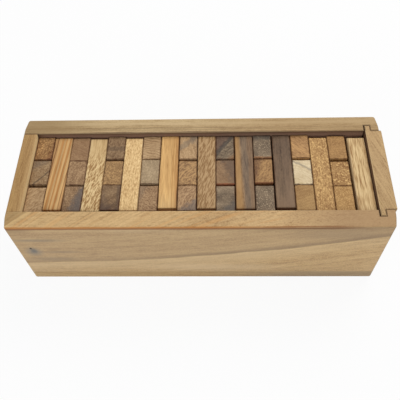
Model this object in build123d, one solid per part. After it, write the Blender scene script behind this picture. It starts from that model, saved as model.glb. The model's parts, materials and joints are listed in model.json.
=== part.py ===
"""Stacking-block tower game, packed on its side in an open wooden box whose one end slides up.

The box lies along X, with the sliding end at +X. The origin is on the ground, under the middle.
"""

import os

from build123d import *

# Blocks, in millimetres. Three blocks side by side make a square layer.
layer_count = 18
standing_rows = ("front", "middle", "back")
lying_rows = ("low", "middle", "top")
block_thickness = 15.0
block_width = 24.0
block_chamfer = 0.8

# Boards of the box
side_thickness = 15.1
fixed_end_thickness = 11.6
bottom_thickness = 11.0
rim_above_blocks = 4.5

# The box's ends, sanded back towards its four corners, and its eased edges
end_sanding_depth = 1.7
end_sanding_width = 10.0
end_blend_radius = 30.0
corner_radius = 2.0
outer_edge_radius = 1.2

# Sliding end: a thin tongue on each upright edge runs in a groove of the side
tongue_thickness = 4.2
groove_depth = 5.6
lip_length = 7.1
panel_stands_proud = 1.8
panel_edge_radius = 1.2

# Clearances of the sliding end
tongue_play_inside = 1.0
tongue_play_outside = 0.25
tongue_tip_clearance = 0.5
panel_side_clearance = 0.4

# Room for the loose blocks, along and across the box
play_along = 6.3
play_across = 5.7

# How the loose layers happen to lie along the box, from the fixed end: shares of the play before each layer,
# and after the last one
gap_shares_along = (1, 1, 1, 1, 1, 1, 1, 3, 4, 4, 1, 6, 4, 10, 3, 2, 1, 13, 5)

# The same across the box, from the front: for each standing layer before, between and behind its blocks,
# and for each lying layer before and behind its blocks
gap_shares_standing = (
    (18, 25, 9, 1),
    (27, 11, 1, 14),
    (35, 1, 16, 1),
    (25, 18, 6, 3),
    (27, 3, 16, 6),
    (19, 13, 10, 10),
    (20, 19, 10, 3),
    (23, 5, 20, 4),
    (11, 1, 23, 17),
)
gap_shares_lying = ((39, 13), (27, 25), (30, 22), (49, 3), (44, 8), (40, 12), (47, 5), (20, 32), (15, 37))

# Sizes that follow
row_count = len(standing_rows)
block_length = row_count * block_width
inner_length = layer_count * block_thickness + play_along
inner_width = block_length + play_across
outer_width = inner_width + 2 * side_thickness
box_height = bottom_thickness + block_length + rim_above_blocks
panel_height = box_height - bottom_thickness

# Places along the box, counted from its middle, which is halfway between the outer faces of its ends
groove_width = tongue_play_inside + tongue_thickness + tongue_play_outside
panel_thickness = tongue_thickness + tongue_play_outside + lip_length + panel_stands_proud
overall_length = fixed_end_thickness + inner_length + panel_thickness
outer_left = -overall_length / 2
inner_left = outer_left + fixed_end_thickness
panel_inner = inner_left + inner_length
groove_start = panel_inner - tongue_play_inside
panel_outer = panel_inner + panel_thickness
sides_right = panel_outer - panel_stands_proud
inner_front = -inner_width / 2
outer_front = -outer_width / 2


def bar(low, high):
    """A block of wood between two corners."""
    size = [b - a for a, b in zip(low, high)]
    return Pos(*low) * Box(*size, align=(Align.MIN, Align.MIN, Align.MIN))


def plan_outline():
    """The glued box from above: its ends fall back in a slow curve to small round corners."""
    corner_left = outer_left + end_sanding_depth
    corner_right = sides_right - end_sanding_depth
    blend_front = outer_front + end_sanding_width
    outline = Polyline(
        (corner_left, outer_front),
        (corner_right, outer_front),
        (sides_right, blend_front),
        (sides_right, -blend_front),
        (corner_right, -outer_front),
        (corner_left, -outer_front),
        (outer_left, -blend_front),
        (outer_left, blend_front),
        close=True,
    )
    plan = make_face(outline)
    plan = fillet(plan.vertices().group_by(lambda vertex: abs(vertex.Y))[-1], corner_radius)
    return fillet(plan.vertices().group_by(lambda vertex: abs(vertex.Y))[0], end_blend_radius)


def envelope():
    """The glued box from outside, as one sanded block, eased round its top and bottom."""
    whole = extrude(plan_outline(), box_height)
    flat_faces = whole.faces().filter_by(Axis.Z)
    return fillet(flat_faces.edges(), outer_edge_radius)


def side_board(sanded):
    """The front side, glued on the bottom, with the groove for one tongue over its full height."""
    board = sanded & bar((outer_left, outer_front, bottom_thickness), (sides_right, inner_front, box_height))
    groove = bar(
        (groove_start, inner_front - groove_depth, bottom_thickness),
        (groove_start + groove_width, inner_front, box_height),
    )
    return board - groove


def fixed_end_board(sanded):
    """The fixed end, glued on the bottom and between the sides."""
    return sanded & bar((outer_left, inner_front, bottom_thickness), (inner_left, -inner_front, box_height))


def bottom(sanded):
    """The bottom, under the sides and the fixed end, with its edges showing all round."""
    return sanded & bar((outer_left, outer_front, 0), (sides_right, -outer_front, bottom_thickness))


def sliding_end_panel():
    """The panel between the lips of the sides, with its tongues flush with its inner face."""
    body_width = inner_width - 2 * panel_side_clearance
    tongue_span = inner_width + 2 * (groove_depth - tongue_tip_clearance)
    body = bar(
        (panel_inner, -body_width / 2, bottom_thickness),
        (panel_outer, body_width / 2, box_height),
    )
    tongues = bar(
        (panel_inner, -tongue_span / 2, bottom_thickness),
        (panel_inner + tongue_thickness, tongue_span / 2, box_height),
    )
    outer_edges = body.faces().sort_by(Axis.X)[-1].edges()
    return fillet(outer_edges, panel_edge_radius) + tongues


def game_block(depth, height):
    """One block with its edges eased, its corner nearest the fixed end, front and ground at the origin."""
    block = bar((0, 0, 0), (block_thickness, depth, height))
    return chamfer(block.edges(), block_chamfer)


def gaps(shares, count, play):
    """The play dealt out in the given shares, for as many gaps as asked."""
    dealt = [shares[i % len(shares)] for i in range(count)]
    return [play * share / sum(dealt) for share in dealt]


def layer_starts():
    """Where each layer starts along the box."""
    starts = []
    place = inner_left
    for gap in gaps(gap_shares_along, layer_count + 1, play_along)[:layer_count]:
        place += gap
        starts.append(place)
        place += block_thickness
    return starts


def standing_layer(start, shares):
    """Three blocks on end, side by side across the box."""
    block = game_block(block_width, block_length)
    layer = {}
    place = inner_front
    for row, gap in zip(standing_rows, gaps(shares, row_count + 1, play_across)):
        place += gap
        layer[row] = Pos(start, place, bottom_thickness) * block
        place += block_width
    return layer


def lying_layer(start, shares):
    """Three blocks on edge across the box, one on the other."""
    block = game_block(block_length, block_width)
    front_gap = gaps(shares, 2, play_across)[0]
    layer = {}
    for level, row in enumerate(lying_rows):
        height = bottom_thickness + level * block_width
        layer[row] = Pos(start, inner_front + front_gap, height) * block
    return layer


def tower():
    """All the blocks by name. Layers stand and lie in turn, from the fixed end."""
    blocks = {}
    for index, start in enumerate(layer_starts()):
        pair = index // 2
        if index % 2 == 0:
            layer = standing_layer(start, gap_shares_standing[pair % len(gap_shares_standing)])
        else:
            layer = lying_layer(start, gap_shares_lying[pair % len(gap_shares_lying)])
        for row, block in layer.items():
            blocks[f"block_{index + 1:02d}_{row}"] = block
    return blocks


def box_boards():
    """The four glued boards and the sliding end, by name."""
    sanded = envelope()
    front = side_board(sanded)
    return {
        "front_side": front,
        "back_side": mirror(front, about=Plane.XZ),
        "fixed_end": fixed_end_board(sanded),
        "bottom_board": bottom(sanded),
        "sliding_end": sliding_end_panel(),
    }


os.makedirs("parts", exist_ok=True)
for name, piece in {**box_boards(), **tower()}.items():
    export_step(piece, f"parts/{name}.step")
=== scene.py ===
"""Looks of the box of stacking blocks: sanded, oiled hardwood, each piece cut from its own plank."""

import json
import math
from collections import namedtuple

import bmesh
import bpy
from mathutils import Matrix, Vector, noise


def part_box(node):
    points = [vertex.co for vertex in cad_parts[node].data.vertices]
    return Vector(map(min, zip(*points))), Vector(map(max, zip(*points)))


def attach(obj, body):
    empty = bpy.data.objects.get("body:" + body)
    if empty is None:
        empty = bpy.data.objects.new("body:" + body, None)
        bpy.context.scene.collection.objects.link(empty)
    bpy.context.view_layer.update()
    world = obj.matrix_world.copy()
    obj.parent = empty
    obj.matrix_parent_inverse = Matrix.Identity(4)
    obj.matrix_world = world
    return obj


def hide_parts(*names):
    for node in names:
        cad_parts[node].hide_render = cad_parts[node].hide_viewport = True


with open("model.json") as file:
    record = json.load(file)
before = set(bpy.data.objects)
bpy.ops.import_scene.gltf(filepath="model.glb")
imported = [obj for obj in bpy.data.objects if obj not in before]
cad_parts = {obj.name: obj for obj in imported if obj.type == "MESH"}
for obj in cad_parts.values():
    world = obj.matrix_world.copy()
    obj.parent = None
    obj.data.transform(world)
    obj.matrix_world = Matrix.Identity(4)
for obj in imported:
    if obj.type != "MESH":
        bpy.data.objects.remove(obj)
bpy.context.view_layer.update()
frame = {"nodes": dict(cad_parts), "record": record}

MM = 0.001
record = frame["record"]
slots = {part["node"]: part["material_slot"] for part in record["subparts"]}
body_of_node = {n: body for body, nodes in record["behaviour"]["bodies"].items() for n in nodes}

# Camera, fitted to the photograph: millimetres, radians and pixels of its 400 pixel frame
CAMERA_PLACE_MM = (15.84, -258.52, 447.37)
CAMERA_TILT = 1.0021
CAMERA_TURN = 0.0668
CAMERA_ROLL = -0.0625
FOCAL_PIXELS = 550.49
PHOTO_PIXELS = 400
SENSOR_MM = 36.0

# Colours of each wood as light, middle and dark grain, in the usual 0 to 255 screen values
WOODS = {
    "box_wood": ((214, 180, 130), (190, 156, 110), (136, 99, 61)),
    "box_olive": ((208, 182, 138), (184, 156, 114), (134, 106, 70)),
    "cream_wood": ((230, 213, 180), (208, 187, 150), (166, 140, 104)),
    "pale_wood": ((232, 202, 150), (208, 174, 123), (158, 118, 72)),
    "golden_wood": ((214, 173, 113), (185, 145, 93), (138, 96, 52)),
    "orange_wood": ((202, 157, 102), (168, 128, 84), (112, 74, 40)),
    "tan_wood": ((194, 163, 123), (169, 137, 100), (125, 94, 62)),
    "brown_wood": ((178, 146, 109), (151, 120, 88), (104, 76, 52)),
    "grey_wood": ((168, 147, 119), (135, 115, 92), (84, 70, 56)),
    "dark_wood": ((143, 114, 87), (117, 93, 72), (74, 55, 42)),
}
BLUE_GREY = (88, 84, 80)
BLACK_BROWN = (58, 48, 42)
RED_BROWN = (112, 60, 34)
ORANGE_EDGE = (158, 98, 44)
PALE_STREAK = (228, 188, 128)
ORANGE_STREAK = (182, 122, 62)
# Painted shade of the gaps between the blocks, laid on the blocks' edges
GAP_SHADE = (82, 44, 26)
SEAM_STAIN = (66, 44, 30)


def linear(colour):
    """A screen colour (sRGB) as the linear colour that shaders take."""
    steps = [c / 255 for c in colour]
    return [c / 12.92 if c <= 0.04045 else ((c + 0.055) / 1.055) ** 2.4 for c in steps] + [1.0]


class Nodes:
    """Short forms for building one material's nodes. The offset sets its noise apart from other pieces'."""

    def __init__(self, material, offset=(0, 0, 0)):
        material.use_nodes = True
        self.tree = material.node_tree
        self.tree.nodes.clear()
        self.offset = offset

    def add(self, kind, **settings):
        node = self.tree.nodes.new(kind)
        for key, value in settings.items():
            setattr(node, key, value)
        return node

    def put(self, socket, value):
        """Links the socket to another one, or sets it to a plain value."""
        if isinstance(value, bpy.types.NodeSocket):
            self.tree.links.new(value, socket)
        else:
            socket.default_value = value

    def math(self, operation, a, b=0.0):
        node = self.add("ShaderNodeMath", operation=operation)
        self.put(node.inputs[0], a)
        self.put(node.inputs[1], b)
        return node.outputs[0]

    def sum(self, *values):
        total = values[0]
        for value in values[1:]:
            total = self.math("ADD", total, value)
        return total

    def minus(self, a, b):
        return self.math("SUBTRACT", a, b)

    def times(self, *values):
        product = values[0]
        for value in values[1:]:
            product = self.math("MULTIPLY", product, value)
        return product

    def vector(self, operation, a, b=(0, 0, 0)):
        node = self.add("ShaderNodeVectorMath", operation=operation)
        self.put(node.inputs[0], a)
        self.put(node.inputs[1], b)
        return node.outputs["Value" if operation in ("DOT_PRODUCT", "LENGTH") else "Vector"]

    def split(self, vector):
        node = self.add("ShaderNodeSeparateXYZ")
        self.put(node.inputs[0], vector)
        return node.outputs[0], node.outputs[1], node.outputs[2]

    def join(self, *parts):
        node = self.add("ShaderNodeCombineXYZ")
        for socket, part in zip(node.inputs, parts):
            self.put(socket, part)
        return node.outputs[0]

    def turned(self, vector, degrees):
        node = self.add("ShaderNodeMapping", vector_type="POINT")
        self.put(node.inputs["Vector"], vector)
        node.inputs["Rotation"].default_value = [math.radians(d) for d in degrees]
        return node.outputs["Vector"]

    def noise(self, vector, grain_mm, detail=2.0, roughness=0.5, output="Fac"):
        """Noise with grains of about this size along each axis."""
        place = self.add("ShaderNodeMapping", vector_type="POINT")
        self.put(place.inputs["Vector"], vector)
        place.inputs["Scale"].default_value = [1 / size for size in grain_mm]
        place.inputs["Location"].default_value = self.offset
        node = self.add("ShaderNodeTexNoise")
        self.put(node.inputs["Vector"], place.outputs["Vector"])
        node.inputs["Scale"].default_value = 1.0
        node.inputs["Detail"].default_value = detail
        node.inputs["Roughness"].default_value = roughness
        return node.outputs[output]

    def swing(self, value, gain):
        """A value around one half, turned into a signed swing."""
        return self.times(self.minus(value, 0.5), gain)

    def smooth(self, value, low, high):
        """Zero at low and one at high, with a soft change between them. Low may be the larger one."""
        node = self.add("ShaderNodeMapRange", interpolation_type="SMOOTHSTEP")
        self.put(node.inputs["Value"], value)
        node.inputs["From Min"].default_value = low
        node.inputs["From Max"].default_value = high
        return node.outputs["Result"]

    def change(self, value, low, high, first, last):
        """First at low and last at high, with a soft change between them."""
        return self.sum(first, self.times(self.smooth(value, low, high), last - first))

    def band(self, value, centre, half, soft):
        """One within half of the centre, fading over soft."""
        away = self.math("ABSOLUTE", self.minus(value, centre))
        return self.smooth(away, half + soft, half)

    def profile(self, value, places):
        """A soft step over a span (start, full), or a soft band on a line (centre, half, soft)."""
        return self.smooth(value, *places) if len(places) == 2 else self.band(value, *places)

    def mix(self, share, a, b):
        # Inputs 6 and 7 and output 2 are the colour sockets of this node
        node = self.add("ShaderNodeMix", data_type="RGBA")
        self.put(node.inputs[0], share)
        self.put(node.inputs[6], a)
        self.put(node.inputs[7], b)
        return node.outputs[2]

    def tint(self, colour, mask, share, tint):
        """The colour with some of a screen colour laid over it where the mask is."""
        return self.mix(self.times(mask, share), colour, linear(tint))

    def ramp(self, value, colours):
        """Screen colours at even steps from zero to one."""
        node = self.add("ShaderNodeValToRGB")
        self.put(node.inputs[0], value)
        stops = node.color_ramp.elements
        stops[0].color = linear(colours[0])
        stops[1].color = linear(colours[-1])
        for place, colour in enumerate(colours[1:-1], start=1):
            stops.new(place / (len(colours) - 1)).color = linear(colour)
        return node.outputs[0]


# What a piece of wood looks like unless it says otherwise. Lengths are in millimetres, in the piece's own
# frame: x across its thickness, y across its width and z along its grain. Turns and slants are in degrees.
PLAIN_LOOK = {
    # Brightness of its wood, and a colour laid over all of it with the share that it takes
    "shade": 1.0,
    "cast": None,
    # Lean of the grain, and how it rises along the piece: start, slope there and curve
    "slant": 0.0,
    "bend": None,
    # Distance and way of the pith that the growth rings lie round, and how far the grain strays
    "pith_mm": 60.0,
    "pith_turn": 60.0,
    "wander": 2.5,
    # Broad bands and fine lines of growth, the figure woven between them, fibres and mottling
    "band": 0.16,
    "band_mm": 5.0,
    "line": 0.14,
    "line_mm": 2.6,
    "weave": 0.48,
    "weave_mm": (1.1, 2.6, 14.0),
    "fibre": 0.2,
    "mottle": 0.14,
    # Pale specks in the figure, dark pores, and flecks with their way, size and fading along the piece
    "speck": 0.0,
    "pore": 0.22,
    "fleck": 0.0,
    "fleck_turn": 0.0,
    "fleck_mm": (1.4, 6.0),
    "fleck_fade": None,
    # Colour of its edges, by default painted shade of the gaps between blocks, with or without those of its
    # ends
    "edge": 0.75,
    "edge_mm": 0.9,
    "edge_colour": GAP_SHADE,
    "end_edges": True,
    # Rows for streaked() and the slant of these streaks
    "streaks": (),
    "streak_slant": 0.0,
}

# Sizes that all the woods share, in millimetres: across the grain both ways and along it. The width of the
# bands is in the look, so they have two here, and pores are counted in each millimetre.
DRIFT_MM = (28, 28, 110)
LINE_WOBBLE_MM = (6, 30, 120)
FIBRE_MM = (0.5, 0.5, 15)
MOTTLE_MM = (8, 8, 22)
RAGGED_MM = (3.5, 3.5, 30)
BAND_LENGTHS_MM = (90, 260)
PORES_PER_MM = (0.95, 0.95, 0.06)
# Noise strays by about a quarter from one half, and this gain makes that one
NOISE_GAIN = 4
# Growth lines: their wobble as a share of their spacing, their sharpness and their mean tone
LINE_WOBBLE = 1.8
LINE_SHARPNESS = 5.0
LINE_MEAN = 0.16
# Pores: the distance from the middle of one at which its tone starts and is full, their mean tone and depth
PORE_SPAN = (0.34, 0.1)
PORE_MEAN = 0.1
PORE_DEPTH = 0.6
# The noise over which figure and flecks come up, then specks, and the specks' mean tone
FIGURE_SPAN = (0.36, 0.64)
SPECK_SPAN = (0.52, 0.64)
SPECK_MEAN = 0.25
# How raggedly an edge's stain ends and where it is full, as shares of its width
EDGE_RAGGED = 1.5
EDGE_FULL = 0.1
# How raggedly a streak ends, as a share of its softness
STREAK_RAGGED = 3
# Satin oil: roughness, how much smoother raised grain is, reflection, and strength and depth of the relief
ROUGHNESS = 0.66
GRAIN_GLOSS = 0.16
REFLECTION = 0.18
RELIEF = 0.4
RELIEF_MM = 0.15
# Each piece's noise starts at its own place: step from seed to seed and length to wrap at, for each axis
SEED_STEPS = ((3.71, 41), (9.13, 37), (5.33, 29))

# What the drawing functions take of a piece: the place in millimetres, the way that it faces there, the noise
# that makes edges ragged, and half the piece's sizes
Surface = namedtuple("Surface", "here normal ragged half")


def bend_rise(n, z, bend):
    """How far bent grain has risen at each place along a piece, by its start, slope there and curve."""
    start, slope, curve = bend
    along = n.minus(z, start)
    return n.times(along, n.sum(n.times(along, curve), slope))


def grain_coordinates(n, here, look):
    """A place as its distance from the pith, its way round the pith and its way along the grain."""
    x, y, z = n.split(n.turned(here, (0, look["slant"], 0)))
    if look["bend"]:
        y = n.minus(y, bend_rise(n, z, look["bend"]))
    bent = n.join(x, y, z)
    drift = n.vector("SUBTRACT", n.noise(bent, DRIFT_MM, output="Color"), (0.5, 0.5, 0.5))
    wander = NOISE_GAIN * look["wander"]
    moved = n.vector("ADD", bent, n.vector("MULTIPLY", drift, (wander, wander, 0)))
    x, y, z = n.split(n.turned(moved, (0, 0, -look["pith_turn"])))
    x = n.sum(x, look["pith_mm"])
    radius = n.vector("LENGTH", n.join(x, y, 0.0))
    arc = n.times(n.math("ARCTAN2", y, x), look["pith_mm"])
    return n.join(radius, arc, z), radius, moved


def wood_tone(n, here, look):
    """How dark the grain is at each place, around one half, with the height of the fine grain."""
    rings, radius, moved = grain_coordinates(n, here, look)
    broad = n.noise(rings, (look["band_mm"], *BAND_LENGTHS_MM))
    wobble = n.noise(rings, LINE_WOBBLE_MM, detail=1.0)
    saw = n.math("FRACT", n.sum(n.times(radius, 1 / look["line_mm"]), n.times(wobble, LINE_WOBBLE)))
    line = n.math("POWER", saw, LINE_SHARPNESS)
    weave = n.noise(rings, look["weave_mm"], roughness=0.6)
    fibre = n.noise(moved, FIBRE_MM, detail=3.0, roughness=0.6)
    mottle = n.noise(here, MOTTLE_MM)
    cells = n.add("ShaderNodeTexVoronoi", feature="F1")
    n.put(cells.inputs["Vector"], n.vector("MULTIPLY", moved, PORES_PER_MM))
    cells.inputs["Scale"].default_value = 1.0
    pore = n.smooth(cells.outputs["Distance"], *PORE_SPAN)
    tone = n.sum(
        0.5 - LINE_MEAN * look["line"] - PORE_MEAN * look["pore"],
        n.swing(broad, NOISE_GAIN * look["band"]),
        n.times(line, look["line"]),
        n.swing(n.smooth(weave, *FIGURE_SPAN), look["weave"]),
        n.swing(fibre, NOISE_GAIN * look["fibre"]),
        n.swing(mottle, NOISE_GAIN * look["mottle"]),
        n.times(pore, look["pore"]),
    )
    if look["speck"]:
        speck = n.smooth(weave, *SPECK_SPAN)
        tone = n.minus(tone, n.times(n.sum(speck, -SPECK_MEAN), look["speck"]))
    if look["fleck"]:
        across, along = look["fleck_mm"]
        flecks = n.noise(n.turned(here, (0, look["fleck_turn"], 0)), (across, across, along))
        swing = n.swing(n.smooth(flecks, *FIGURE_SPAN), look["fleck"])
        if look["fleck_fade"]:
            swing = n.times(swing, n.smooth(n.split(here)[2], *look["fleck_fade"]))
        tone = n.minus(tone, swing)
    return tone, n.minus(fibre, n.times(pore, PORE_DEPTH))


def edge_mask(n, surface, look):
    """One on the edges of a piece, fading inwards, with or without those of its ends."""
    x, y, z = n.split(n.vector("SUBTRACT", surface.half, n.vector("ABSOLUTE", surface.here)))
    high = n.math("MAXIMUM", x, y)
    second = high
    if look["end_edges"]:
        second = n.math("MAXIMUM", n.math("MINIMUM", x, y), n.math("MINIMUM", high, z))
    width = look["edge_mm"]
    return n.smooth(n.sum(second, n.swing(surface.ragged, EDGE_RAGGED * width)), width, EDGE_FULL * width)


def streaked(n, colour, here, streaks, ragged):
    """Colour with streaks that run along the grain: (turn, offset, half width, softness, colour, strength).

    A half width of None colours all that lies beyond the offset, and a turn of None looks along the grain.
    """
    for turn, offset, half_width, soft, tint, strength in streaks:
        normal = (0, 0, 1)
        if turn is not None:
            normal = (math.cos(math.radians(turn)), math.sin(math.radians(turn)), 0)
        away = n.minus(n.vector("DOT_PRODUCT", here, normal), offset)
        away = n.sum(away, n.swing(ragged, STREAK_RAGGED * soft))
        if half_width is None:
            mask = n.smooth(away, -soft, soft)
        else:
            mask = n.band(away, 0.0, half_width, soft)
        colour = n.tint(colour, mask, strength, tint)
    return colour


def finish_material(n, colour, height):
    """Satin oiled wood of this colour, with its fine grain in relief."""
    shader = n.add("ShaderNodeBsdfPrincipled")
    n.put(shader.inputs["Base Color"], colour)
    n.put(shader.inputs["Roughness"], n.minus(ROUGHNESS, n.times(height, GRAIN_GLOSS)))
    shader.inputs["Specular IOR Level"].default_value = REFLECTION
    bump = n.add("ShaderNodeBump")
    bump.inputs["Strength"].default_value = RELIEF
    bump.inputs["Distance"].default_value = RELIEF_MM * MM
    n.put(bump.inputs["Height"], height)
    n.put(shader.inputs["Normal"], bump.outputs["Normal"])
    output = n.add("ShaderNodeOutputMaterial")
    n.put(output.inputs["Surface"], shader.outputs["BSDF"])


def wood_material(node, half_mm, seed, look, add_tone=None, add_colour=None):
    """One piece's wood: rings round a pith, fibres, pores, flecks, streaks, and edges with painted shade or
    pale wear.
    """
    look = {**PLAIN_LOOK, "wood": slots[node], **look}
    material = bpy.data.materials.new(node + "_grain")
    n = Nodes(material, [seed * step % wrap for step, wrap in SEED_STEPS])
    coords = n.add("ShaderNodeTexCoord")
    here = n.vector("MULTIPLY", coords.outputs["Object"], (1 / MM,) * 3)
    surface = Surface(here, coords.outputs["Normal"], n.noise(here, RAGGED_MM), half_mm)
    tone, height = wood_tone(n, here, look)
    if add_tone:
        tone = add_tone(n, tone, surface)
    shades = [[min(255, c * look["shade"]) for c in colour] for colour in WOODS[look["wood"]]]
    colour = n.ramp(tone, shades)
    if look["cast"]:
        cast, share = look["cast"]
        colour = n.mix(share, colour, linear(cast))
    slanted = n.turned(here, (0, look["streak_slant"], 0))
    colour = streaked(n, colour, slanted, look["streaks"], surface.ragged)
    # Edges: painted shade of the gaps on the blocks, pale worn edges on the boards
    colour = n.tint(colour, edge_mask(n, surface, look), look["edge"], look["edge_colour"])
    if add_colour:
        colour = add_colour(n, colour, surface)
    finish_material(n, colour, height)
    return material
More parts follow.
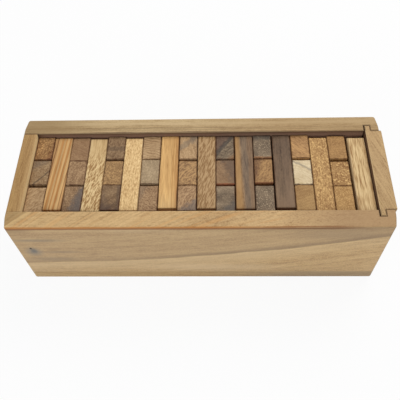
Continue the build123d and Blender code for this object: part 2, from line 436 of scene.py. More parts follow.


# Looks of the blocks that show, from the photograph, where they differ from PLAIN_LOOK
BLOCK_LOOKS = {
    "block_01_front": {"shade": 1.02, "band": 0.1, "pith_turn": 130.0},
    "block_01_middle": {
        "shade": 0.92,
        "wood": "tan_wood",
        "weave": 0.8,
        "weave_mm": (1.3, 1.8, 14.0),
        "speck": 0.9,
        "streaks": ((-40, 4.7, 0.25, 0.6, BLACK_BROWN, 0.6), (130, 5.0, None, 3.0, BLUE_GREY, 0.4)),
    },
    "block_01_back": {
        "shade": 0.98,
        "mottle": 0.25,
        "weave": 0.8,
        "weave_mm": (1.4, 2.0, 14.0),
        "speck": 1.2,
        "edge": 0.85,
        "edge_mm": 1.5,
        "streaks": ((-30, 6.5, None, 2.0, RED_BROWN, 0.35),),
    },
    "block_02_top": {
        "shade": 1.06,
        "band": 0.7,
        "band_mm": 1.7,
        "slant": 4.0,
        "line": 0.2,
        "wander": 0.8,
        "weave": 0.2,
        "mottle": 0.08,
        "pith_turn": 0.0,
        "streak_slant": 4.0,
        "streaks": (
            (0, 5.4, 0.5, 0.7, PALE_STREAK, 0.6),
            (0, 1.6, 0.4, 0.6, PALE_STREAK, 0.55),
            (0, -1.2, 0.3, 0.5, PALE_STREAK, 0.5),
            (0, -4.6, 0.5, 0.7, (222, 178, 116), 0.5),
            (0, 3.5, 0.4, 0.6, ORANGE_STREAK, 0.6),
            (0, 0.3, 0.3, 0.5, ORANGE_STREAK, 0.6),
            (0, -2.9, 0.4, 0.6, ORANGE_STREAK, 0.6),
        ),
    },
    "block_03_front": {
        "shade": 1.0,
        "wood": "brown_wood",
        "weave": 0.75,
        "weave_mm": (1.2, 1.8, 14.0),
        "speck": 1.0,
        "streaks": ((-20, 1.5, None, 3.5, (80, 82, 86), 0.65),),
    },
    "block_03_middle": {"shade": 1.05, "weave": 0.75, "weave_mm": (1.2, 1.8, 14.0), "speck": 0.6},
    "block_03_back": {"shade": 0.99, "cast": ((148, 108, 74), 0.3), "weave": 0.3, "fibre": 0.25},
    "block_04_top": {
        "shade": 0.98,
        "weave": 0.25,
        "fleck": 1.05,
        "fleck_turn": 20.0,
        "fleck_mm": (0.8, 3.7),
        "fleck_fade": (-34.0, 6.0),
        "mottle": 0.12,
    },
    "block_05_front": {
        "shade": 0.88,
        "wood": "brown_wood",
        "weave": 0.7,
        "weave_mm": (1.2, 1.8, 14.0),
        "speck": 0.5,
        # The second streak is painted shadow on the front left corner
        "streaks": ((0, 5.0, None, 1.5, (66, 52, 46), 0.5), (225, 5.0, None, 5.0, (70, 56, 54), 0.6)),
    },
    "block_05_middle": {
        "shade": 1.0,
        "cast": ((160, 133, 95), 0.35),
        "weave": 1.4,
        "weave_mm": (1.2, 1.8, 14.0),
        "speck": 1.3,
    },
    "block_05_back": {"shade": 0.92, "streaks": ((90, -1.0, 1.5, 1.5, BLACK_BROWN, 0.35),)},
    "block_06_top": {
        "shade": 1.08,
        "band": 0.08,
        "line": 0.08,
        "mottle": 0.08,
        "weave": 0.25,
        "weave_mm": (0.9, 1.4, 3.0),
        "fleck": 0.35,
        "fleck_mm": (0.7, 2.0),
        "pore": 0.25,
    },
    "block_07_front": {
        "shade": 1.06,
        "weave_mm": (1.0, 1.6, 14.0),
        "streaks": ((150, 5.0, None, 3.0, BLUE_GREY, 0.3),),
    },
    "block_07_middle": {
        "shade": 1.2,
        "cast": ((170, 146, 106), 0.3),
        "band": 0.1,
        "weave": 0.6,
        "weave_mm": (1.0, 1.5, 14.0),
        "speck": 0.4,
    },
    "block_07_back": {
        "shade": 1.02,
        "line": 0.75,
        "line_mm": 2.2,
        "wander": 3.5,
        "weave": 0.25,
        "pith_turn": 80.0,
        "pith_mm": 30.0,
    },
    "block_08_top": {
        "shade": 1.12,
        "band": 0.12,
        "mottle": 0.08,
        "weave": 0.24,
        "weave_mm": (0.8, 1.6, 30.0),
        "streaks": (
            (None, 28.0, None, 14.0, (228, 194, 138), 0.5),
            (0, 5.0, None, 1.0, ORANGE_EDGE, 0.4),
            (0, 3.4, 0.25, 0.5, (172, 118, 62), 0.45),
        ),
    },
    "block_09_front": {"shade": 1.12, "streaks": ((-52, 5.0, None, 3.0, (96, 94, 94), 0.6),)},
    "block_09_middle": {
        "shade": 0.99,
        "cast": ((164, 134, 99), 0.35),
        "weave": 0.95,
        "line": 0.5,
        "pith_turn": 140.0,
        "pith_mm": 16.0,
    },
    "block_09_back": {
        "shade": 1.06,
        "speck": 0.2,
        "streaks": ((-50, -4.0, 1.2, 2.0, (104, 98, 90), 0.45), (30, 6.0, None, 2.0, BLUE_GREY, 0.3)),
    },
    "block_10_top": {
        "shade": 0.985,
        "wood": "tan_wood",
        "weave": 0.3,
        "fleck": 1.2,
        "fleck_turn": 17.0,
        "fleck_mm": (0.8, 5.5),
        "cast": ((176, 134, 82), 0.3),
    },
    "block_11_front": {
        "shade": 0.98,
        "mottle": 0.3,
        "weave_mm": (1.0, 1.5, 14.0),
        "speck": 0.4,
        "streaks": ((-50, 6.0, None, 3.0, (70, 72, 76), 0.5),),
    },
    "block_11_middle": {
        "shade": 0.96,
        "cast": ((140, 106, 76), 0.3),
        "weave": 0.3,
        "streaks": ((20, 1.0, None, 4.0, (84, 70, 62), 0.6), (-90, 11.0, None, 0.5, (150, 74, 40), 0.6)),
    },
    "block_11_back": {
        "shade": 0.91,
        "wood": "grey_wood",
        "streaks": (
            (143, 2.5, None, 2.5, (98, 72, 60), 0.7),
            (-37, -2.0, 0.8, 1.5, (48, 47, 48), 0.6),
            (-45, 10.0, None, 2.0, (150, 104, 62), 0.5),
        ),
    },
    "block_12_top": {
        "shade": 0.97,
        "wood": "brown_wood",
        "fibre": 0.14,
        "fleck": 0.25,
        "fleck_mm": (0.8, 2.2),
        "streak_slant": -2.2,
        "streaks": (
            (180, 2.5, None, 2.2, (178, 136, 84), 0.7),
            (0, 3.0, None, 3.0, (116, 92, 72), 0.6),
            (0, 0.9, 1.6, 2.4, (96, 88, 80), 0.5),
        ),
    },
    "block_13_front": {"shade": 1.0, "weave": 0.4, "weave_mm": (1.2, 1.6, 14.0), "speck": 1.0},
    "block_13_middle": {
        "shade": 0.93,
        "streaks": ((165, 4.0, None, 2.0, (84, 54, 42), 0.6), (-90, 10.8, None, 0.6, RED_BROWN, 0.7)),
    },
    "block_13_back": {
        "shade": 0.96,
        "weave": 0.5,
        "weave_mm": (1.2, 1.6, 14.0),
        "speck": 1.0,
        "streaks": ((-90, 10.5, None, 0.8, ORANGE_EDGE, 0.5), (90, 7.0, None, 2.0, (72, 68, 64), 0.5)),
    },
    "block_14_top": {
        "shade": 0.84,
        "weave": 0.24,
        "weave_mm": (0.8, 1.6, 30.0),
        "band": 0.08,
        "line": 0.1,
        "fibre": 0.12,
        "fleck": 0.3,
        "fleck_mm": (0.8, 2.2),
        "mottle": 0.16,
        "streaks": (
            (None, 12.0, None, 34.0, (152, 124, 96), 0.55),
            (0, 2.5, 1.4, 2.0, (124, 100, 80), 0.3),
        ),
    },
    "block_15_front": {
        "shade": 0.91,
        "wood": "golden_wood",
        "weave": 0.45,
        "weave_mm": (1.2, 1.6, 14.0),
        "speck": 0.5,
    },
    "block_15_middle": {
        "shade": 1.04,
        "wood": "cream_wood",
        "weave": 0.15,
        "edge": 0.85,
        "streaks": (
            (57, 5.4, 0.35, 1.1, (128, 118, 106), 0.55),
            (225, 9.0, None, 4.0, (190, 164, 116), 0.45),
        ),
    },
    "block_15_back": {"shade": 1.03, "wood": "orange_wood", "band": 0.2, "weave": 0.3, "pith_turn": 50.0},
    "block_16_top": {
        "shade": 1.0,
        "weave": 0.3,
        "weave_mm": (1.0, 1.2, 2.0),
        "speck": 1.1,
        "mottle": 0.08,
        "pore": 0.0,
        "line": 0.05,
        "fleck": 0.4,
        "fleck_mm": (0.9, 1.7),
    },
    "block_17_front": {
        "shade": 0.96,
        "cast": ((180, 136, 78), 0.3),
        "weave": 1.2,
        "weave_mm": (1.2, 1.7, 14.0),
        "speck": 1.1,
    },
    "block_17_middle": {
        "shade": 0.985,
        "wood": "golden_wood",
        "weave": 0.8,
        "weave_mm": (1.3, 2.4, 14.0),
        "speck": 1.9,
        "pith_turn": 80.0,
    },
    "block_17_back": {
        "shade": 0.975,
        "wood": "orange_wood",
        "cast": ((168, 126, 66), 0.3),
        "band": 0.15,
        "weave": 0.4,
        "weave_mm": (1.2, 1.7, 14.0),
    },
    "block_18_top": {
        "shade": 0.97,
        "band": 0.4,
        "band_mm": 2.6,
        "fleck": 0.6,
        "fleck_mm": (0.6, 10.0),
        # The second streak is painted shade on the left edge, beside the gap
        "streaks": ((0, 4.5, None, 2.5, (176, 134, 84), 0.35), (180, 6.2, None, 0.7, (126, 104, 76), 0.6)),
    },
}
# Blocks that others hide
HIDDEN_LOOK = {"shade": 0.95}
# Growth rings from block to block: turn round the pith in degrees, and nearest pith, its step and its spread
PITH_TURN_STEP = 137.5
PITH_NEAREST_MM = 35.0
PITH_STEP_MM = 17
PITH_SPREAD_MM = 50

# Shape of the blocks: radius of the edges, cuts across a round edge and where even cuts start, both as
# shares of that radius, and about how far apart the even cuts are
EDGE_RADIUS_MM = 0.8
EDGE_CUTS = (0, 0.3, 0.65, 1)
EVEN_CUTS_START = 2.5
EVEN_CUTS_MM = 6.0
# Wear of the blocks: how fast it changes and how deep it is, for the edges as a share of their radius. The
# faces take theirs from another place in the noise.
EDGE_WEAR_PER_MM = 0.16
EDGE_WEAR = 0.45
FACE_WEAR_PER_MM = 0.09
FACE_WEAR_MM = 0.05
FACE_WEAR_PLACE = 7


def ticks(half):
    """Places along one axis: close together near both ends, where the edges are round, and wide between."""
    near = [half - share * EDGE_RADIUS_MM for share in EDGE_CUTS]
    inner = half - EVEN_CUTS_START * EDGE_RADIUS_MM
    count = max(1, round(2 * inner / EVEN_CUTS_MM))
    middle = [-inner + 2 * inner * i / count for i in range(count + 1)]
    return sorted([-t for t in near] + middle + near)


def grid_box(sides):
    """Vertices and quads of a box whose faces are cut at the given places along each axis."""
    vertices = []
    index = {}
    quads = []

    def vertex(point):
        if point not in index:
            index[point] = len(vertices)
            vertices.append(point)
        return index[point]

    for axis in range(3):
        u, v = (axis + 1) % 3, (axis + 2) % 3
        for end in (0, -1):
            for a, b in zip(sides[u], sides[u][1:]):
                for c, d in zip(sides[v], sides[v][1:]):
                    corners = []
                    for first, second in ((a, c), (b, c), (b, d), (a, d)):
                        point = [0.0, 0.0, 0.0]
                        point[axis], point[u], point[v] = sides[axis][end], first, second
                        corners.append(vertex(tuple(point)))
                    quads.append(corners if end == -1 else corners[::-1])
    return [Vector(p) for p in vertices], quads


def worn(point, half, seed):
    """A point of a box moved onto its rounded, slightly uneven surface."""
    edge_wear = noise.noise(point * EDGE_WEAR_PER_MM + Vector((seed, 0, 0)))
    radius = EDGE_RADIUS_MM * (1 + EDGE_WEAR * edge_wear)
    core = Vector([max(-(h - radius), min(h - radius, p)) for p, h in zip(point, half)])
    away = (point - core).normalized()
    face_wear = noise.noise(point * FACE_WEAR_PER_MM + Vector((0, seed, FACE_WEAR_PLACE)))
    return core + away * (radius - FACE_WEAR_MM * (1 + face_wear))


def block_piece(node, seed):
    """One block, with its own frame along its grain, in place of the CAD node."""
    low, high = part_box(node)
    size = (high - low) / MM
    lying = size.y > size.z
    half = Vector((size.x, size.z, size.y)) / 2 if lying else size / 2
    points, quads = grid_box([ticks(h) for h in half])
    mesh = bpy.data.meshes.new(node + "_wood")
    mesh.from_pydata([worn(p, half, seed) * MM for p in points], [], quads)
    mesh.update()
    mesh.shade_smooth()
    piece = bpy.data.objects.new(node + "_wood", mesh)
    bpy.context.scene.collection.objects.link(piece)
    turn = Matrix.Rotation(math.pi / 2, 4, "X") if lying else Matrix.Identity(4)
    piece.matrix_world = Matrix.Translation((low + high) / 2) @ turn
    return piece, half, lying


def put_in_place(piece, node):
    """The piece stands for the node and moves with its body."""
    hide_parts(node)
    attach(piece, body_of_node[node])


def make_blocks():
    """All the game blocks."""
    nodes = sorted(n for n in frame["nodes"] if n.startswith("block_"))
    for seed, node in enumerate(nodes, start=1):
        piece, half, lying = block_piece(node, seed)
        chance = {
            "pith_turn": seed * PITH_TURN_STEP % 360,
            "pith_mm": PITH_NEAREST_MM + seed * PITH_STEP_MM % PITH_SPREAD_MM,
            "end_edges": not lying,
        }
        look = {**chance, **BLOCK_LOOKS.get(node, HIDDEN_LOOK)}
        piece.data.materials.append(wood_material(node, half, seed, look))
        put_in_place(piece, node)


# Boards: the easing of their edges in millimetres, the angle over which an edge is sharp, the angle under
# which two faces are one, and the distance in metres within which two points are one
SEAM_EASE_MM = 0.2
SHARP_ANGLE = math.radians(50)
FLAT_ANGLE = math.radians(1.0)
WELD = 1e-6


def eased_board(node, grain_turn):
    """A board as in CAD, with its sharp edges eased and its own frame along its grain."""
    low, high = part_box(node)
    centre = (low + high) / 2
    frame_here = Matrix.Translation(centre) @ grain_turn
    mesh = frame["nodes"][node].data.copy()
    mesh.name = node + "_wood"
    mesh.materials.clear()
    shape = bmesh.new()
    shape.from_mesh(mesh)
    bmesh.ops.remove_doubles(shape, verts=shape.verts, dist=WELD)
    bmesh.ops.dissolve_limit(shape, angle_limit=FLAT_ANGLE, verts=shape.verts, edges=shape.edges)
    shared = [edge for edge in shape.edges if len(edge.link_faces) == 2]
    sharp = [edge for edge in shared if edge.calc_face_angle(0) > SHARP_ANGLE]
    bmesh.ops.bevel(shape, geom=sharp, offset=SEAM_EASE_MM * MM, segments=2, profile=0.5, affect="EDGES")
    # Nothing passes the node's own box
    for vertex in shape.verts:
        vertex.co = [min(max(c, a), b) for c, a, b in zip(vertex.co, low, high)]
    bmesh.ops.transform(shape, matrix=frame_here.inverted(), verts=shape.verts)
    shape.to_mesh(mesh)
    shape.free()
    mesh.shade_smooth()
    piece = bpy.data.objects.new(node + "_wood", mesh)
    bpy.context.scene.collection.objects.link(piece)
    piece.matrix_world = frame_here
    half = grain_turn.to_3x3().inverted() @ (high - low) / 2 / MM
    return piece, Vector(map(abs, half))


# Frames of the boards. Along X: their x, y and z are the box's Y, Z and X. Along Y: X, -Z and Y.
ALONG_X = Matrix(((0, 0, 1, 0), (1, 0, 0, 0), (0, 1, 0, 0), (0, 0, 0, 1)))
ALONG_Y = Matrix(((1, 0, 0, 0), (0, 0, 1, 0), (0, -1, 0, 0), (0, 0, 0, 1)))

# How squarely a surface has to face a way: where that starts to count and where it counts in full
FACING_SPAN = (0.5, 0.9)


def facing(n, surface, axis, sign):
    """One where the surface faces one way along an axis of the piece."""
    return n.smooth(n.times(n.split(surface.normal)[axis], sign), *FACING_SPAN)


def tinted(n, colour, value, mask, rows):
    """Colour with one tint for each row, where the mask is: span or line of the value, colour and strength.

    A span is where the tint starts and where it is full. A line is its place, half width and softness.
    """
    for places, tint, strength in rows:
        colour = n.tint(colour, n.times(n.profile(value, places), mask), strength, tint)
    return colour


# Painted shade on the walls inside, darkest at the rim and lighter deeper down, where the rendering shades
# them
# as well: its colours, then spans by the depth below the rim where it starts and where it turns from the
# first colour to the others, and its fading with its strength before and after
WALL_SHADE_AT_RIM = (72, 44, 36)
WALL_SHADE_BY_BLOCKS = (138, 101, 85)
PANEL_WALL_SHADE = (84, 56, 44)
WALL_SHADE_SPAN = (0.1, 0.7)
WALL_SHADE_TURN_SPAN = (0.6, 6.5)
WALL_SHADE_FADE = (8.0, 30.0, 0.85, 0.3)


def painted_wall_shade(n, colour, mask, depth, deep=WALL_SHADE_BY_BLOCKS):
    """A wall inside the box with painted shade, by the depth below its rim."""
    wall = n.mix(n.smooth(depth, *WALL_SHADE_TURN_SPAN), linear(WALL_SHADE_AT_RIM), linear(deep))
    fading = n.change(depth, *WALL_SHADE_FADE)
    return n.mix(n.times(mask, n.smooth(depth, *WALL_SHADE_SPAN), fading), colour, wall)


# Dark seams round the grooves and tongues: span by the distance from the edge, and strength
SEAM_SPAN = (0.7, 0.3)
SEAM_STRENGTH = 0.7
# Mouth of the groove in each side, in its own frame: both ends along it and its depth from the inner face
GROOVE_MM = (137.2, 142.6, 5.6)


def groove_seam(n, colour, top, from_wall, z):
    """Dark edges round the upper mouth of a side's groove, by the distance from its inner face."""
    first, last, depth = GROOVE_MM
    aside = n.math("ABSOLUTE", n.minus(z, (first + last) / 2))
    outside = n.math("MAXIMUM", n.minus(aside, (last - first) / 2), n.minus(from_wall, depth))
    return n.tint(colour, n.times(n.smooth(outside, *SEAM_SPAN), top), SEAM_STRENGTH, SEAM_STAIN)


# The figure on the front rail runs aslant, steepest at the left: middle of the rail, slope there and curve
RAIL_SLANT = (0.0, 0.445, -0.00175)
# Its size and strength, and where along the rail it changes, with its share before and after
RAIL_FIGURE_MM = (2.2, 8.0, 80.0)
RAIL_FIGURE_STRENGTH = 1.4
RAIL_FIGURE_CHANGE = (90, -60, 0.35, 1.0)
# Size of the warm figure, its span along the rail, and its tint by the noise that it is drawn with
WARM_MM = (3.2, 8.0, 70.0)
WARM_ALONG = (110, 30)
WARM_TINTS = (((0.5, 0.68), (200, 142, 78), 0.42),)
# Tints by the place along the front rail
FRONT_RAIL_TINTS = (
    ((50, 125), (166, 132, 94), 0.75),
    ((50, -20), (220, 184, 130), 0.25),
)
# A dark wedge at the left end of the rail and a pale line beside it, by the place along a slanting way, which
# is given by its shares across and along the rail
WEDGE_WAY = (0.771, -0.637)
WEDGE_TINTS = (
    ((89.6, 90.6), (150, 122, 80), 0.55),
    ((89.1, 0.4, 0.8), (214, 182, 126), 0.4),
)
# How raggedly lines on the rails run
RAIL_RAGGED = 1.5


def rail_figure(n, here, grain_mm):
    """Noise drawn out along the slanting figure of the front rail."""
    x, y, z = n.split(here)
    return n.noise(n.join(n.minus(x, bend_rise(n, z, RAIL_SLANT)), y, z), grain_mm)


def front_tone(n, tone, surface):
    """Slanting figure on the upper face of the front side, strongest towards the fixed end."""
    fading = n.change(n.split(surface.here)[2], *RAIL_FIGURE_CHANGE)
    figure = n.swing(rail_figure(n, surface.here, RAIL_FIGURE_MM), RAIL_FIGURE_STRENGTH)
    return n.sum(tone, n.times(figure, facing(n, surface, 1, 1), fading))


def front_rail(n, colour, surface, top):
    """Warm figure, tints and a dark wedge on the top of the front side."""
    x, _, z = n.split(surface.here)
    warm = n.times(top, n.smooth(z, *WARM_ALONG))
    colour = tinted(n, colour, rail_figure(n, surface.here, WARM_MM), warm, WARM_TINTS)
    colour = tinted(n, colour, z, top, FRONT_RAIL_TINTS)
    across, along = WEDGE_WAY
    way = n.sum(n.times(x, across), n.times(z, along), n.swing(surface.ragged, RAIL_RAGGED))
    return tinted(n, colour, way, top, WEDGE_TINTS)


# The front board's grain rises to the right in a slow curve: start along it, slope there and curve
FRONT_BEND = (-127.3, 0.0259, 0.000483)
# A streak goes with that grain: its height at the start, and the size and strength of its wander
FRONT_STREAK_HEIGHT = -19.1
FRONT_STREAK_WANDER_MM = (9, 9, 40)
FRONT_STREAK_WANDER = 4.0
# Its layers: spans in and out by the height over it, change along the board, colour and strength. The first
# is a pale band of the grain under the streak, widened downwards as painted light from the floor.
FRONT_STREAK_AND_LIGHT_LAYERS = (
    # Pale grain band, widened downwards as painted light from the floor
    ((-24.0, -3.0), (1.0, -1.6), (30, 120, 1.0, 0.55), (216, 188, 146), 0.45),
    ((-0.6, 1.4), None, None, (158, 134, 108), 0.34),
    ((-1.6, 0.4), (7.0, 0.4), (-80, 20, 0.45, 1.0), (112, 92, 72), 0.5),
)


def front_streak(n, colour, surface):
    """The rising streak on the outer face and the ends of the front side, with painted light under it."""
    _, y, z = n.split(surface.here)
    wander = n.swing(n.noise(surface.here, FRONT_STREAK_WANDER_MM), FRONT_STREAK_WANDER)
    height = n.sum(y, n.times(bend_rise(n, z, FRONT_BEND), -1), wander, -FRONT_STREAK_HEIGHT)
    ends = n.math("MAXIMUM", facing(n, surface, 2, 1), facing(n, surface, 2, -1))
    shown = n.math("MAXIMUM", facing(n, surface, 0, -1), ends)
    for span_in, span_out, change, tint, strength in FRONT_STREAK_AND_LIGHT_LAYERS:
        mask = n.times(n.smooth(height, *span_in), shown)
        if span_out:
            mask = n.times(mask, n.smooth(height, *span_out))
        if change:
            mask = n.times(mask, n.change(z, *change))
        colour = n.tint(colour, mask, strength, tint)
    return colour


# Soft marks on the front board's outer face: height and place along it, half sizes, colour and strength. The
# last is painted light from the floor, low on the face.
FRONT_MARKS_AND_LIGHT = (
    (19.0, -128.0, 4.0, 34.0, (132, 120, 102), 0.55),
    (-0.5, -112.0, 3.4, 24.0, (136, 116, 94), 0.5),
    (-13.0, -122.0, 6.0, 34.0, (138, 120, 98), 0.45),
    (0.0, -135.5, 10.5, 10.0, (112, 114, 110), 0.55),
    (2.0, -135.2, 6.5, 4.0, (84, 88, 90), 0.6),
    (6.1, -136.6, 1.8, 1.5, (22, 22, 24), 1.0),
    (36.0, -48.0, 9.0, 55.0, (206, 178, 138), 0.35),
    (36.0, -142.0, 9.0, 20.0, (140, 114, 82), 0.55),
    (27.0, 110.0, 13.0, 62.0, (142, 118, 92), 0.45),
    # Painted light from the floor, low on the face
    (-29.0, 8.0, 11.0, 90.0, (218, 190, 150), 0.5),
)
# How raggedly their edges run, and their span by the share of the half sizes
MARK_RAGGED = 2.0
MARK_SPAN = (1.0, 0.1)


def front_marks(n, colour, surface, outside):
    """Soft marks, a pin knot and painted light low on the outer face of the front side."""
    _, y, z = n.split(surface.here)
    for mark_y, mark_z, half_y, half_z, tint, strength in FRONT_MARKS_AND_LIGHT:
        away_y = n.times(n.sum(y, -mark_y, n.swing(surface.ragged, MARK_RAGGED)), 1 / half_y)
        away_z = n.times(n.sum(z, -mark_z), 1 / half_z)
        away = n.vector("LENGTH", n.join(away_y, away_z, 0.0))
        colour = n.tint(colour, n.times(n.smooth(away, *MARK_SPAN), outside), strength, tint)
    return colour


# Stains and painted shade along the edges of the front board: the edge, span or line by the distance from it,
# spans along the board, colour and strength. The first two are an orange arris and a painted shadow line on
# it.
# Then come painted shade and a painted shadow crease under it on the outer face, and the dark foot of that
# face.
FRONT_EDGE_STAINS_AND_SHADE = (
    ("arris", (1.6, 0.7), ((125, 0),), (176, 108, 44), 0.75),
    # Rows two to four are painted shade: a shadow line on the arris, then shade and a shadow crease under it
    ("arris", (0.9, 0.2, 0.4), ((130, 100), (35, 75)), (122, 68, 38), 0.6),
    ("under", (9.0, 1.0), ((-10, 60),), (118, 94, 70), 0.3),
    ("under", (1.6, 0.5, 0.9), ((135, 105),), (112, 68, 36), 0.6),
    ("foot", (1.3, 0.3), (), (124, 94, 62), 0.5),
)
# How raggedly the arris and what lies under it run
ARRIS_RAGGED = 0.8


def front_edges(n, colour, surface, outside):
    """The upper outer edge of the front side, the painted shade on and under it, and the foot of the board.
    """
    x, y, z = n.split(surface.here)
    ragged = n.swing(surface.ragged, ARRIS_RAGGED)
    below = n.minus(surface.half.y, y)
    from_edge = {
        "arris": n.sum(n.math("MAXIMUM", below, n.sum(x, surface.half.x)), ragged),
        "under": n.sum(below, ragged),
        "foot": n.sum(y, surface.half.y),
    }
    for edge, places, spans_along, tint, strength in FRONT_EDGE_STAINS_AND_SHADE:
        mask = n.profile(from_edge[edge], places)
        for span in spans_along:
            mask = n.times(mask, n.smooth(z, *span))
        if edge != "arris":
            mask = n.times(mask, outside)
        colour = n.tint(colour, mask, strength, tint)
    return colour


def front_colour(n, colour, surface):
    """All that is drawn on the front side, and the painted shade on its inner face."""
    x, y, z = n.split(surface.here)
    outside = facing(n, surface, 0, -1)
    top = facing(n, surface, 1, 1)
    colour = front_streak(n, colour, surface)
    colour = front_marks(n, colour, surface, outside)
    colour = front_rail(n, colour, surface, top)
    colour = front_edges(n, colour, surface, outside)
    colour = groove_seam(n, colour, top, n.minus(surface.half.x, x), z)
    return painted_wall_shade(n, colour, facing(n, surface, 0, 1), n.minus(surface.half.y, y))


# Tints across the back rail and along it. The last one across is painted shade along its inner rim.
BACK_LINES = (
    ((-2.8, 0.2, 0.5), (112, 90, 62), 0.4),
    ((-4.7, 0.2, 0.5), (120, 96, 66), 0.35),
    ((2.0, 0.8, 1.2), (210, 184, 142), 0.45),
    # Painted shade along the inner rim of the rail
    ((-8.0, 0.9, 0.5), WALL_SHADE_AT_RIM, 0.8),
)
BACK_RAIL_TINTS = (
    ((-70, -135), (148, 120, 82), 0.7),
    ((-20, 90), (158, 124, 80), 0.42),
)


def back_colour(n, colour, surface):
    """Straight lines and darker ends on the back rail, and painted shade at its inner rim and on its inner
    face.
    """
    x, y, z = n.split(surface.here)
    top = facing(n, surface, 1, 1)
    across = n.sum(x, n.swing(surface.ragged, RAIL_RAGGED))
    colour = tinted(n, colour, across, top, BACK_LINES)
    colour = tinted(n, colour, z, top, BACK_RAIL_TINTS)
    colour = groove_seam(n, colour, top, n.sum(surface.half.x, x), z)
    return painted_wall_shade(n, colour, facing(n, surface, 0, -1), n.minus(surface.half.y, y))


# Fixed end: a painted highlight on its top, by the distance from its inner edge, and on its inner face a
# painted highlight over painted shade, by the depth below the rim
END_TOP_HIGHLIGHT = (((5.0, 0.5), (210, 174, 122), 0.35),)
END_WALL_LIGHT_AND_SHADE = (
    ((4.6, 3.6), (236, 208, 156), 0.8),
    ((4.0, 5.0), WALL_SHADE_BY_BLOCKS, 0.5),
)
# Its seams with the sides: span from the seam, then the change along the board, with the strength at the
# front side and at the back side
END_SEAM_SPAN = (1.3, 0.4)
END_SEAM_CHANGE = (-10, 10, 0.2, 0.7)


def end_colour(n, colour, surface):
    """Painted highlights on the top and the inner face near the arris, painted shade lower down, and dark
    seams on the fixed end.
    """
    x, y, z = n.split(surface.here)
    half = surface.half
    colour = tinted(n, colour, n.minus(half.x, x), facing(n, surface, 1, -1), END_TOP_HIGHLIGHT)
    colour = tinted(n, colour, n.sum(y, half.y), facing(n, surface, 0, 1), END_WALL_LIGHT_AND_SHADE)
    seam = n.smooth(n.minus(half.z, n.math("ABSOLUTE", z)), *END_SEAM_SPAN)
    return n.mix(n.times(seam, n.change(z, *END_SEAM_CHANGE)), colour, linear(SEAM_STAIN))


# Tongues of the sliding end, in its own frame: their outer face, where they leave the panel's edges, and
# spans about both places
TONGUE_FACE = -2.5
PANEL_EDGE = 38.4
TONGUE_FACE_SPAN = (-0.3, 0.1)
PANEL_EDGE_SPAN = (-0.2, 0.2)


def panel_colour(n, colour, surface):
    """Painted shade on the inner face and dark edges round the tongues of the sliding end."""
    x, y, z = n.split(surface.here)
    half = surface.half
    beyond = n.minus(n.math("ABSOLUTE", z), PANEL_EDGE)
    past_tongue = n.smooth(n.minus(x, TONGUE_FACE), *TONGUE_FACE_SPAN)
    on_panel = n.times(n.smooth(n.times(beyond, -1), *SEAM_SPAN), past_tongue)
    tip = n.minus(half.z - PANEL_EDGE, beyond)
    cheek = n.math("MINIMUM", n.sum(x, half.x), n.minus(TONGUE_FACE, x))
    near_edge = n.smooth(n.math("MINIMUM", tip, cheek), *SEAM_SPAN)
    on_tongue = n.times(near_edge, n.smooth(beyond, *PANEL_EDGE_SPAN))
    seam = n.times(n.math("MAXIMUM", on_panel, on_tongue), facing(n, surface, 1, -1))
    colour = n.tint(colour, seam, SEAM_STRENGTH, SEAM_STAIN)
    return painted_wall_shade(n, colour, facing(n, surface, 0, -1), n.sum(y, half.y), PANEL_WALL_SHADE)


# Look of the boards where it differs from PLAIN_LOOK, with pale worn edges
BOARD_LOOK = {
    "band": 0.2,
    "band_mm": 7.0,
    "line": 0.1,
    "weave": 0.16,
    "weave_mm": (1.2, 2.6, 20.0),
    "mottle": 0.06,
    "fleck": 0.2,
    "fleck_mm": (0.9, 1.6),
    "edge": 0.4,
    "edge_mm": 0.8,
    "edge_colour": (226, 200, 150),
}
# Each board's frame, its look where it differs from BOARD_LOOK, and the functions that add to its tone and
# its colour
BOARDS = {
    "front_side": (
        ALONG_X,
        {"bend": FRONT_BEND, "pith_mm": 260.0, "pith_turn": 75.0, "fleck": 0.24, "fleck_mm": (0.9, 1.2)},
        front_tone,
        front_colour,
    ),
    "back_side": (
        ALONG_X,
        {"pith_mm": 200.0, "pith_turn": -60.0, "wood": "box_olive", "band": 0.25, "band_mm": 4.0},
        None,
        back_colour,
    ),
    "bottom_board": (
        ALONG_X,
        {
            "shade": 0.92,
            "pith_mm": 150.0,
            "pith_turn": 95.0,
            "streaks": ((None, 50.0, None, 50.0, (136, 122, 106), 0.4),),
        },
        None,
        None,
    ),
    "fixed_end": (
        ALONG_Y,
        {"shade": 0.91, "wood": "golden_wood", "pith_mm": 90.0, "pith_turn": 20.0, "edge": 0.1},
        None,
        end_colour,
    ),
    "sliding_end": (
        ALONG_Y,
        {"shade": 0.955, "pith_mm": 120.0, "band": 0.1, "slant": 20.0},
        None,
        panel_colour,
    ),
}
FIRST_BOARD_SEED = 101


def make_boards():
    """The four glued boards and the sliding end."""
    for seed, (node, board) in enumerate(BOARDS.items(), start=FIRST_BOARD_SEED):
        turn, look, add_tone, add_colour = board
        piece, half = eased_board(node, turn)
        material = wood_material(node, half, seed, {**BOARD_LOOK, **look}, add_tone, add_colour)
        piece.data.materials.append(material)
        put_in_place(piece, node)


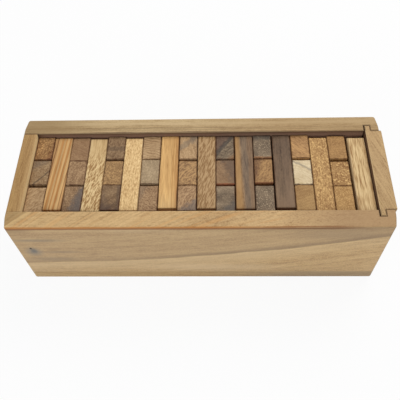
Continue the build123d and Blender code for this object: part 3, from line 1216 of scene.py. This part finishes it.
def make_camera():
    """The camera at the photograph's place, with its roll."""
    forward = Vector(
        (
            -math.sin(CAMERA_TURN) * math.cos(CAMERA_TILT),
            math.cos(CAMERA_TURN) * math.cos(CAMERA_TILT),
            -math.sin(CAMERA_TILT),
        )
    )
    right = forward.cross(Vector((0, 0, 1))).normalized()
    up = right.cross(forward)
    rolled_right = math.cos(CAMERA_ROLL) * right + math.sin(CAMERA_ROLL) * up
    rolled_up = -math.sin(CAMERA_ROLL) * right + math.cos(CAMERA_ROLL) * up
    axes = Matrix((rolled_right, rolled_up, -forward)).transposed()
    lens = bpy.data.cameras.new("camera")
    lens.sensor_width = SENSOR_MM
    lens.lens = SENSOR_MM * FOCAL_PIXELS / PHOTO_PIXELS
    camera = bpy.data.objects.new("camera", lens)
    camera.matrix_world = Matrix.Translation(Vector(CAMERA_PLACE_MM) * MM) @ axes.to_4x4()
    bpy.context.scene.collection.objects.link(camera)
    bpy.context.scene.camera = camera


# Sky: its strength and colour as a light, and its strength where it is seen, in white
SKY_LIGHT = 0.42
SKY_COLOUR = (0.95, 0.98, 1.04, 1.0)
SKY_SEEN = 0.96
WHITE = (1.0, 1.0, 1.0, 1.0)
# Floor: half its width in metres, how far it lies under the part, its grey and its share of white where it
# is seen
FLOOR_REACH = 12.0
FLOOR_DROP_MM = 0.2
FLOOR_GREY = (0.85, 0.85, 0.85, 1.0)
FLOOR_SEEN = 0.92
# Lamps: name, place, target and size in metres, power in watts and colour
LAMPS = (
    ("key", (0.5, 0.75, 1.15), (0, 0, 0), 0.9, 12.5, (1.0, 0.965, 0.91)),
    ("front_fill", (-0.6, -1.3, 0.6), (0, 0, 0.05), 1.2, 12.5, (0.9, 0.96, 1.0)),
)


def seen_white(n):
    """One for rays from the camera, and for those that are reflected or pass through, which see white."""
    path = n.add("ShaderNodeLightPath")
    seen = n.math("MAXIMUM", path.outputs["Is Camera Ray"], path.outputs["Is Glossy Ray"])
    return n.math("MAXIMUM", seen, path.outputs["Is Transmission Ray"])


def make_sky():
    """A pale sky that is seen as white."""
    world = bpy.data.worlds.new("studio")
    bpy.context.scene.world = world
    n = Nodes(world)
    sky = n.add("ShaderNodeBackground")
    seen = seen_white(n)
    n.put(sky.inputs["Color"], n.mix(seen, SKY_COLOUR, WHITE))
    n.put(sky.inputs["Strength"], n.sum(SKY_LIGHT, n.times(seen, SKY_SEEN - SKY_LIGHT)))
    output = n.add("ShaderNodeOutputWorld")
    n.put(output.inputs["Surface"], sky.outputs[0])


def floor_material():
    """A pale floor that is seen as nearly white."""
    material = bpy.data.materials.new("floor_pale")
    n = Nodes(material)
    diffuse = n.add("ShaderNodeBsdfDiffuse")
    diffuse.inputs["Color"].default_value = FLOOR_GREY
    glow = n.add("ShaderNodeEmission")
    both = n.add("ShaderNodeMixShader")
    n.put(both.inputs[0], n.times(seen_white(n), FLOOR_SEEN))
    n.put(both.inputs[1], diffuse.outputs[0])
    n.put(both.inputs[2], glow.outputs[0])
    output = n.add("ShaderNodeOutputMaterial")
    n.put(output.inputs["Surface"], both.outputs[0])
    return material


def make_floor():
    """A wide floor just under the part."""
    mesh = bpy.data.meshes.new("floor")
    corners = [(x * FLOOR_REACH, y * FLOOR_REACH, 0) for x, y in ((-1, -1), (1, -1), (1, 1), (-1, 1))]
    mesh.from_pydata(corners, [], [(0, 1, 2, 3)])
    mesh.materials.append(floor_material())
    floor = bpy.data.objects.new("floor", mesh)
    floor.location.z = -FLOOR_DROP_MM * MM
    bpy.context.scene.collection.objects.link(floor)


def area_light(name, place, target, size, power, colour):
    """A soft square lamp that faces the target."""
    data = bpy.data.lights.new(name, "AREA")
    data.size = size
    data.energy = power
    data.color = colour
    lamp = bpy.data.objects.new(name, data)
    lamp.location = place
    lamp.rotation_mode = "QUATERNION"
    lamp.rotation_quaternion = (Vector(target) - Vector(place)).to_track_quat("-Z", "Y")
    bpy.context.scene.collection.objects.link(lamp)


def make_studio():
    """Plain colours, a sky, a floor and soft lamps."""
    bpy.context.scene.view_settings.view_transform = "Standard"
    make_sky()
    make_floor()
    for lamp in LAMPS:
        area_light(*lamp)


make_camera()
make_studio()
make_blocks()
make_boards()
